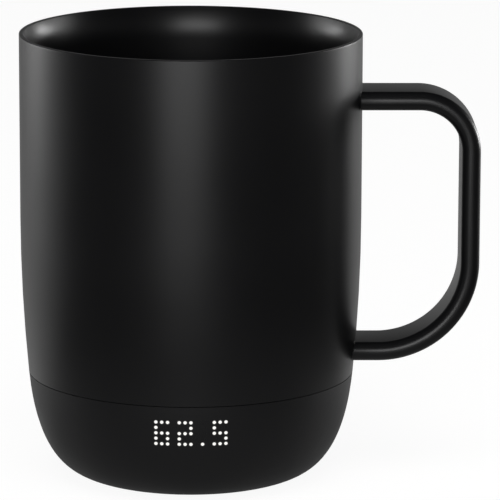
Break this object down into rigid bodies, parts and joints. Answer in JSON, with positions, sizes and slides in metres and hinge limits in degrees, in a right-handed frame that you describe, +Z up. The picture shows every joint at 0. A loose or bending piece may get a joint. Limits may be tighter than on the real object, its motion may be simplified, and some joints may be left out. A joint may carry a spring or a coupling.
{
  "type": "self heating mug",
  "caption": "Steel mug with a strap handle, a coated inner cup and a moulded base that holds a heater, cells, a dot matrix readout, charging contacts and a power button.",
  "frame": {"origin": "centre of the foot ring, on the surface that the mug stands on", "axes": "+Z up along the mug's axis, +X towards the handle, -Y towards the readout"},
  "size_m": [0.121, 0.09, 0.1183],
  "materials": {
    "steel_black_coat": "satin black powder coat",
    "cup_black_coat": "satin black ceramic coat",
    "handle_black_coat": "satin black powder coat",
    "base_plastic": "fine matte black",
    "lit_pin": "clear pin lit from behind",
    "dark_pin": "dark clear pin",
    "seal_rubber": "smooth",
    "white_plastic": "moulded",
    "circuit_board": "green solder mask",
    "chip_black": "moulded",
    "led_white": "moulded",
    "zinc_steel": "zinc plated",
    "plain_steel": "cold rolled",
    "insulation": "pressed glass fibre",
    "spreader": "rolled",
    "film": "amber polyimide",
    "bead": "epoxy",
    "red_wire": "insulated",
    "grey_wire": "insulated",
    "tray_plastic": "moulded",
    "foam": "closed cell foam",
    "cell_wrap": "shrink wrap",
    "nickel": "nickel strip",
    "connector_plastic": "moulded",
    "flat_cable": "polyimide",
    "cover_plastic": "fine matte black",
    "foot_rubber": "soft matte black",
    "gold_contact": "gold plated",
    "button_plastic": "satin dark grey"
  },
  "bodies": {
    "mug": {"outer_shell": "steel_black_coat", "inner_liner": "cup_black_coat", "handle": "handle_black_coat", "base_shell": "base_plastic", "dots_lit": "lit_pin", "dots_unlit": "dark_pin", "seam_gasket": "seal_rubber", "light_baffle": "white_plastic", "led_board": "circuit_board", "led_chips": "led_white", "display_screws": "zinc_steel", "display_flex": "flat_cable", "mounting_plate": "plain_steel", "plate_nuts": "zinc_steel", "insulation_disc": "insulation", "heat_spreader": "spreader", "heater_film": "film", "heater_leads": "red_wire", "thermistor": "bead", "thermistor_leads": "grey_wire", "battery_tray": "tray_plastic", "battery_cap": "tray_plastic", "battery_pads": "foam", "cell_front": "cell_wrap", "cell_rear": "cell_wrap", "cell_links": "nickel", "battery_leads": "red_wire", "main_board": "circuit_board", "board_parts": "chip_black", "board_connectors": "connector_plastic", "chassis_screws": "zinc_steel", "bottom_cover": "cover_plastic", "cover_screws": "zinc_steel", "foot_ring": "foot_rubber", "charge_pad": "gold_contact", "charge_ring": "gold_contact", "contact_springs": "nickel", "button_seal": "seal_rubber", "tact_switch": "chip_black"},
    "power_button": {"power_button": "button_plastic", "switch_plunger": "white_plastic"}
  },
  "joints": [
    {"name": "power_button_press", "type": "slide", "parent": "mug", "child": "power_button", "axis": [0, 0, 1], "range_m": [0, 0.0004], "stiffness_N_per_m": 600, "springref_m": -0.0008}
  ]
}
